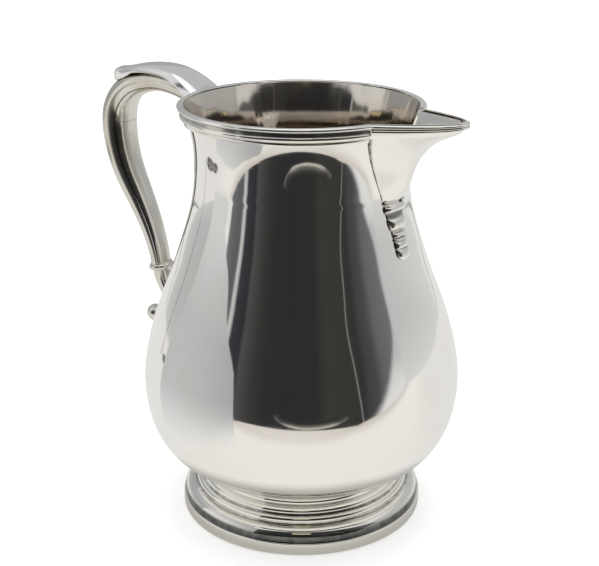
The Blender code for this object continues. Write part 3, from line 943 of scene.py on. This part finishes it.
def stage_axes(tree):
    """Where a mirrored piece's point is: to the view's right, towards the viewer, and up."""
    place = node(tree, "ShaderNodeSeparateXYZ")
    plug(tree, place.inputs[0], node(tree, "ShaderNodeTexCoord").outputs["Object"])
    return place.outputs[0], times(tree, place.outputs[1], -1.0), place.outputs[2]


def ramp_of(tree, value, low, high, stops):
    """A colour that follows the stops, each a value from low to high and a colour."""
    made = node(tree, "ShaderNodeValToRGB")
    plug(tree, made.inputs[0], remapped(tree, value, low, high, 0.0, 1.0))
    ramp = made.color_ramp
    for i, (at, shade) in enumerate(stops):
        share = (at - low) / (high - low)
        if i < 2:
            stop = ramp.elements[i]
            stop.position = share
        else:
            stop = ramp.elements.new(share)
        stop.color = (*shade, 1.0)
    return made.outputs[0]


def make_floor():
    """A plain pale floor that glows a little, which the silver doesn't see."""
    size, height, glow = 3.0, -0.0006, 0.36
    finish = bpy.data.materials.new("floor")
    finish.use_nodes = True
    shader = finish.node_tree.nodes["Principled BSDF"]
    shader.inputs["Base Color"].default_value = (0.80, 0.80, 0.80, 1.0)
    shader.inputs["Roughness"].default_value = 1.0
    shader.inputs["Specular IOR Level"].default_value = 0.0
    shader.inputs["Emission Color"].default_value = (1.0, 1.0, 1.0, 1.0)
    shader.inputs["Emission Strength"].default_value = glow
    corners = [(-size, -size), (size, -size), (size, size), (-size, size)]
    mesh = mesh_of("floor", [(x, y, height) for x, y in corners], [(0, 1, 2, 3)])
    mesh.materials.append(finish)
    floor = placed("floor", mesh)
    floor.visible_glossy = False


def make_table():
    """The table under the pitcher as the silver sees it, with a low rolled front edge; it glows with
    painted light and shade.
    """
    table, tree, colour = glowing("table")
    ahead = stage_axes(tree)[1]
    # Painted light and shade: a brighter pool in front of the pitcher, painted shade towards the front
    # edge, a painted shadow round the foot, and a dark line far behind it.
    lit = eased(tree, apart(tree, ahead, 0.14), 0.03, 0.16, 1.0, 0.0)
    cream = blended(tree, lit, (0.80, 0.79, 0.77), (0.88, 0.86, 0.81))
    cream = blended(tree, eased(tree, ahead, 0.17, 0.29), cream, (0.62, 0.56, 0.51))
    away = node(tree, "ShaderNodeVectorMath", operation="LENGTH")
    plug(tree, away.inputs[0], node(tree, "ShaderNodeTexCoord").outputs["Object"])
    shadow = eased(tree, away.outputs["Value"], 0.060, 0.088, 1.0, 0.0)
    cream = blended(tree, shadow, cream, (0.47, 0.46, 0.43))
    far_dark_line = eased(tree, apart(tree, ahead, -0.66), 0.006, 0.012, 0.85, 0.0)
    plug(tree, colour, blended(tree, far_dark_line, cream, (0.07, 0.07, 0.07)))

    back, half_width = 1.2, 1.4
    across = np.linspace(-half_width, half_width, 141)
    aside = (across + 0.03) ** 2
    front = np.minimum(0.228 + 0.8 * aside, 0.275)
    lift = np.maximum(0.029 - 0.62 * aside, 0.0)
    flat = 0.0 * across
    rows = [(flat - back, flat), (front - 0.006, flat), (front, lift), (front + 0.002, flat)]
    points = [(x, -y, z) for ahead_of, high in rows for x, y, z in zip(across, ahead_of, high)]
    mesh = mesh_of("table", points, strip_faces(len(rows), len(across), False))
    mirrored_piece("table", mesh, table, TABLE_Z)


def make_table_edge():
    """A strip past the table's front edge that darkens away from it and bows back at both sides."""
    finish, tree, colour = glowing("table edge")
    middle, near, width, height = 0.04, 0.352, 0.15, -0.008
    bow_left, bow_right = 4.8, 2.2
    axes = node(tree, "ShaderNodeSeparateXYZ")
    plug(tree, axes.inputs[0], node(tree, "ShaderNodeUVMap").outputs[0])
    tone = ramp_of(tree, axes.outputs[1], 0.0, width, [
        (0.0, (0.50, 0.47, 0.42)), (0.028, (0.46, 0.44, 0.40)), (0.044, (0.17, 0.165, 0.15)),
        (0.065, (0.10, 0.098, 0.09)), (0.10, (0.042, 0.042, 0.04)), (width, (0.030, 0.030, 0.030)),
    ])
    faded = eased(tree, maths(tree, "ABSOLUTE", axes.outputs[0]), 0.08, 0.17, 0.0, 0.8)
    plug(tree, colour, blended(tree, faded, tone, (0.036, 0.036, 0.036)))

    aside = np.linspace(-0.26, 0.24, 51)
    bow = np.where(aside < 0, bow_left, bow_right) * aside**2
    steps = np.linspace(0.0, width, 7)
    points = [(u + middle, -(near + b + step), height) for step in steps for u, b in zip(aside, bow)]
    mesh = mesh_of("table_edge", points, strip_faces(len(steps), len(aside), False))
    spots = [(u, step) for step in steps for u in aside]
    layer = mesh.uv_layers.new(name="place")
    for loop in mesh.loops:
        layer.data[loop.index].uv = spots[loop.vertex_index]
    mirrored_piece("table_edge", mesh, finish, TABLE_Z)


def make_front():
    """The tent's front wall, with the wide opening that the view looks in through."""
    ahead, half_width, bottom, top = 0.27, 1.0, -0.02, 0.90
    walls, tree, colour = glowing("tent front")
    across, _, height = stage_axes(tree)
    right = plus(tree, 0.245, times(tree, maths(tree, "MAXIMUM", height, 0.0), 2.0))
    past_left = eased(tree, across, -0.95, -0.90)
    past_right = eased(tree, maths(tree, "SUBTRACT", across, right), -0.02, 0.13, 1.0, 0.0)
    below = eased(tree, height, 0.39, 0.42, 1.0, 0.0)
    opening = times(tree, times(tree, past_left, past_right), below)
    wall = blended(tree, eased(tree, height, 0.03, 0.22), (0.74, 0.74, 0.73), (0.50, 0.51, 0.52))
    wall = blended(tree, eased(tree, height, 0.36, 0.45), wall, (0.80, 0.80, 0.79))
    plug(tree, colour, wall)
    mixed = node(tree, "ShaderNodeMixShader")
    plug(tree, mixed.inputs[0], opening)
    plug(tree, mixed.inputs[1], tree.nodes["Emission"].outputs[0])
    plug(tree, mixed.inputs[2], node(tree, "ShaderNodeBsdfTransparent").outputs[0])
    plug(tree, tree.nodes["Material Output"].inputs["Surface"], mixed.outputs[0])
    mesh = mesh_of("tent_front", [
        (-half_width, -ahead, bottom), (half_width, -ahead, bottom),
        (half_width, -ahead, top), (-half_width, -ahead, top),
    ], [(0, 1, 2, 3)])
    mirrored_piece("tent_front", mesh, walls)


def make_reflector():
    """A glowing card at the pitcher's left, with a sloping top towards the viewer, painted in tones:
    lightest at its foot, darkest in its middle, and darker towards the viewer.
    """
    side = -0.10
    outline = [
        (0.020, 0.0), (0.020, 0.159), (0.043, 0.159), (0.058, 0.157), (0.071, 0.151), (0.083, 0.143),
        (0.095, 0.134), (0.105, 0.126), (0.117, 0.116), (0.126, 0.106), (0.132, 0.085), (0.134, 0.060),
        (0.135, 0.0),
    ]
    card, tree, colour = glowing("reflector")
    _, ahead, height = stage_axes(tree)
    tone = ramp_of(tree, height, 0.0, 0.16, [
        (0.0, (0.86, 0.85, 0.82)), (0.020, (0.83, 0.82, 0.80)), (0.045, (0.72, 0.72, 0.72)),
        (0.075, (0.55, 0.555, 0.56)), (0.12, (0.52, 0.525, 0.53)), (0.145, (0.60, 0.60, 0.60)),
        (0.16, (0.68, 0.68, 0.68)),
    ])
    dimmed = times(tree, eased(tree, ahead, 0.03, 0.14, 0.0, 0.45), eased(tree, height, 0.01, 0.07))
    plug(tree, colour, blended(tree, dimmed, tone, (0.25, 0.25, 0.255)))
    points = [(side, -ahead_of, high) for ahead_of, high in outline]
    mirrored_piece("reflector", mesh_of("reflector", points, [tuple(range(len(outline)))]), card)


def make_stand():
    """A thin dark stand on a flat mottled foot, on the table to the pitcher's left."""
    dark, tree, colour = glowing("stand")
    mottle = noise(tree, node(tree, "ShaderNodeTexCoord").outputs["Object"], 28.0)
    mottle = eased(tree, mottle, 0.40, 0.62)
    plug(tree, colour, blended(tree, mottle, (0.09, 0.09, 0.085), (0.34, 0.33, 0.31)))
    pole = (-0.494, -0.250, 0.0032, 0.165)
    foot = [(-0.560, -0.190, 0.066, 0.002), (-0.590, -0.110, 0.055, 0.002)]
    made = bmesh.new()
    for across, ahead, radius, top in [pole, *foot]:
        cylinder = bmesh.ops.create_cone(made, segments=24, radius1=radius, radius2=radius, depth=top,
                                         cap_ends=True)
        bmesh.ops.translate(made, verts=cylinder["verts"], vec=(across, -ahead, top / 2))
    mirrored_piece("stand", mesh_from(made, "stand"), dark)


def make_surround():
    """What lies around: the tent's pale walls and ceiling, and the dark room past its front."""
    walls, tree, colour = glowing("surround")
    across, ahead, up = stage_axes(tree)
    degrees = 180 / math.pi
    azimuth = times(tree, maths(tree, "ARCTAN2", across, ahead), degrees)
    level = maths(tree, "SQRT", plus(tree, times(tree, across, across), times(tree, ahead, ahead)))
    elevation = times(tree, maths(tree, "ARCTAN2", up, level), degrees)
    aside = maths(tree, "ABSOLUTE", azimuth)

    # The dark room past the opening, from left to right, with a bright seam that leans and a lamp
    room = ramp_of(tree, azimuth, -75.0, 90.0, [
        (-75, (0.16, 0.165, 0.17)), (-64, (0.11, 0.115, 0.12)), (-61, (0.12, 0.125, 0.13)),
        (-59.5, (0.58, 0.58, 0.58)), (-57.5, (0.50, 0.50, 0.50)), (-56, (0.042, 0.044, 0.050)),
        (-47, (0.030, 0.032, 0.036)), (-45, (0.075, 0.077, 0.080)), (-40, (0.058, 0.058, 0.056)),
        (-34, (0.040, 0.040, 0.038)),
        (-26, (0.030, 0.030, 0.030)), (-10, (0.026, 0.027, 0.030)), (4, (0.030, 0.029, 0.030)),
        (10, (0.028, 0.028, 0.028)), (18, (0.043, 0.043, 0.040)), (34, (0.041, 0.040, 0.037)),
        (42, (0.034, 0.034, 0.034)), (47, (0.058, 0.058, 0.058)), (53, (0.070, 0.070, 0.073)),
        (59, (0.13, 0.13, 0.135)), (70, (0.155, 0.16, 0.165)), (90, (0.22, 0.22, 0.23)),
    ])
    lean = plus(tree, azimuth, times(tree, elevation, 0.167))
    seam = eased(tree, apart(tree, lean, 39.0), 0.15, 0.45, 0.8, 0.0)
    room = blended(tree, seam, room, (0.40, 0.40, 0.38))
    lamp = times(tree, eased(tree, elevation, 34.5, 36.0), eased(tree, elevation, 40.0, 42.0, 1.0, 0.0))
    lamp = times(tree, lamp, eased(tree, aside, 8.5, 10.5, 1.0, 0.0))
    room = blended(tree, lamp, room, (1.3, 1.15, 0.72))

    # The tent's walls, dimmer higher up and bright at the left, and its bright ceiling
    side = eased(tree, azimuth, -40.0, 40.0)
    high = blended(tree, side, (0.40, 0.41, 0.42), (0.50, 0.51, 0.51))
    middle = blended(tree, side, (0.52, 0.525, 0.525), (0.66, 0.66, 0.655))
    wall = blended(tree, eased(tree, elevation, -6.0, 18.0, 1.0, 0.0), high, middle)
    wall = blended(tree, eased(tree, elevation, -14.0, 0.0, 1.0, 0.0), wall, (0.76, 0.76, 0.75))
    left = eased(tree, apart(tree, azimuth, -84.0), 12.0, 18.0, 1.0, 0.0)
    wall = blended(tree, left, wall, (0.84, 0.84, 0.82))
    behind = eased(tree, aside, 95.0, 135.0)
    upper = blended(tree, behind, (0.76, 0.76, 0.75), (0.53, 0.54, 0.55))
    wall = blended(tree, eased(tree, elevation, 22.0, 38.0), wall, upper)
    wall = blended(tree, eased(tree, elevation, 64.0, 70.0), wall, (1.15, 1.15, 1.14))

    in_front = eased(tree, aside, 73.0, 75.5, 1.0, 0.0)
    open_side = times(tree, in_front, eased(tree, elevation, 60.0, 66.0, 1.0, 0.0))
    plug(tree, colour, blended(tree, open_side, wall, room))

    made = bmesh.new()
    bmesh.ops.create_uvsphere(made, u_segments=48, v_segments=24, radius=1.1)
    mirrored_piece("surround", mesh_from(made, "surround"), walls, 0.10)


def make_light():
    world = bpy.data.worlds.new("plain white")
    world.use_nodes = True
    sky = world.node_tree.nodes["Background"]
    sky.inputs["Color"].default_value = (1.0, 1.0, 1.0, 1.0)
    sky.inputs["Strength"].default_value = 1.05
    bpy.context.scene.world = world
    lamp = bpy.data.lights.new("softbox", "AREA")
    lamp.shape = "DISK"
    lamp.size = 0.9
    lamp.energy = 4.0
    box = placed("softbox", lamp)
    box.location = (axis_x - 0.15, 0.25, 1.2)
    box.visible_glossy = False
    bpy.context.scene.view_settings.view_transform = "Standard"


def make_camera():
    """A camera that looks down at the pitcher from between its spout and its right side."""
    distance, bearing, height, pitch = 0.5673, 35.9, 0.3203, 19.88
    lens = bpy.data.cameras.new("camera")
    lens.lens, lens.sensor_width = 74.15, 36.0
    lens.shift_y = 0.0017
    lens.clip_start, lens.clip_end = 0.01, 20.0
    camera = placed("camera", lens)
    turn = math.radians(bearing)
    camera.location = (axis_x + distance * math.sin(turn), -distance * math.cos(turn), height)
    camera.rotation_euler = (math.radians(90 - pitch), 0.0, math.radians(VIEW_TURN))
    bpy.context.scene.camera = camera


# Everything together

# Each finish, as a material and the slot it belongs to
clean, dull, film = (0.93, 0.92, 0.90), (0.90, 0.89, 0.86), (0.86, 0.83, 0.77)
worn, worn_film = (0.76, 0.745, 0.70), (0.60, 0.55, 0.46)
cool, cool_film = (0.88, 0.88, 0.885), (0.80, 0.79, 0.77)
body = silver("body silver", clean, film, 0.30, 0.5, 0.055, 0.012), "body_silver"
moulding = silver("moulding silver", dull, film, 0.5, 1.0, 0.07, 0.008), "moulding_silver"
handle = silver("handle silver", worn, worn_film, 0.7, 1.0, 0.13, 0.015), "handle_silver"
plate = silver("thumb plate silver", cool, cool_film, 0.5, 0.6, 0.10, 0.012), "handle_silver"
foot = silver("foot silver", dull, film, 0.5, 1.0, 0.06, 0.006), "foot_silver"

rim = turned("rim", rim_profile(), 30, SPOUT_JOINT[-1][1] + 0.2)
show("pitcher_body", body_mesh(), *body, "body", hollow_size=0.0003)
show("rim_wire", rim, *moulding, "rim_moulding", hollow_size=0.0007)
show("pouring_spout", spout_mesh(), *body, "spout", hollow_size=0.0003)
for side, edge in ((1, "left"), (-1, "right")):
    wire = "spout_wire_" + edge
    show(wire, spout_moulding_mesh(wire, side), *moulding, "spout_moulding_" + edge, hollow_size=0.0007)
show("cast_drop", spout_drop_mesh(), *moulding, "spout_drop", hollow_size=0.0010)

shell_mesh, upper_mesh, lower_mesh = handle_meshes(rim_cutter)
show("handle_outer_shell", shell_mesh, *handle, "handle_shell")
show("handle_upper_strip", upper_mesh, *handle, "handle_strip_upper")
show("handle_lower_strip", lower_mesh, *handle, "handle_strip_lower")
show("thumb_saddle", thumb_plate_mesh(rim_cutter), *plate, "thumb_plate")
show("handle_ring", handle_collar_mesh(), *handle, "handle_collar")
show("handle_foot_scroll", handle_scroll_mesh(body_cutter), *handle, "handle_scroll")

steps = turned("foot_steps", foot_ring_profile())
# The foot's lowest step, below the middle of its ovolo, is painted dark as a painted reflection of the
# dark room.
band_low, band_high, band_share = 0.0090, 0.0101, 0.97
past_band = [(v.co.z - band_low) / (band_high - band_low) for v in steps.vertices]
store(steps, "painted_dark_band", [band_share * (1 - np.clip(share, 0, 1)) for share in past_band])
show("foot_bead", turned("foot_bead", foot_collar_profile()), *foot, "foot_collar", hollow_size=0.0010)
show("foot_steps", steps, *foot, "foot_ring", hollow_size=0.0010)
show("foot_base_wire", turned("foot_base_wire", foot_wire_profile(), 50), *foot, "foot_wire")

make_floor()
make_table()
make_table_edge()
make_front()
make_reflector()
make_stand()
make_surround()
make_light()
make_camera()
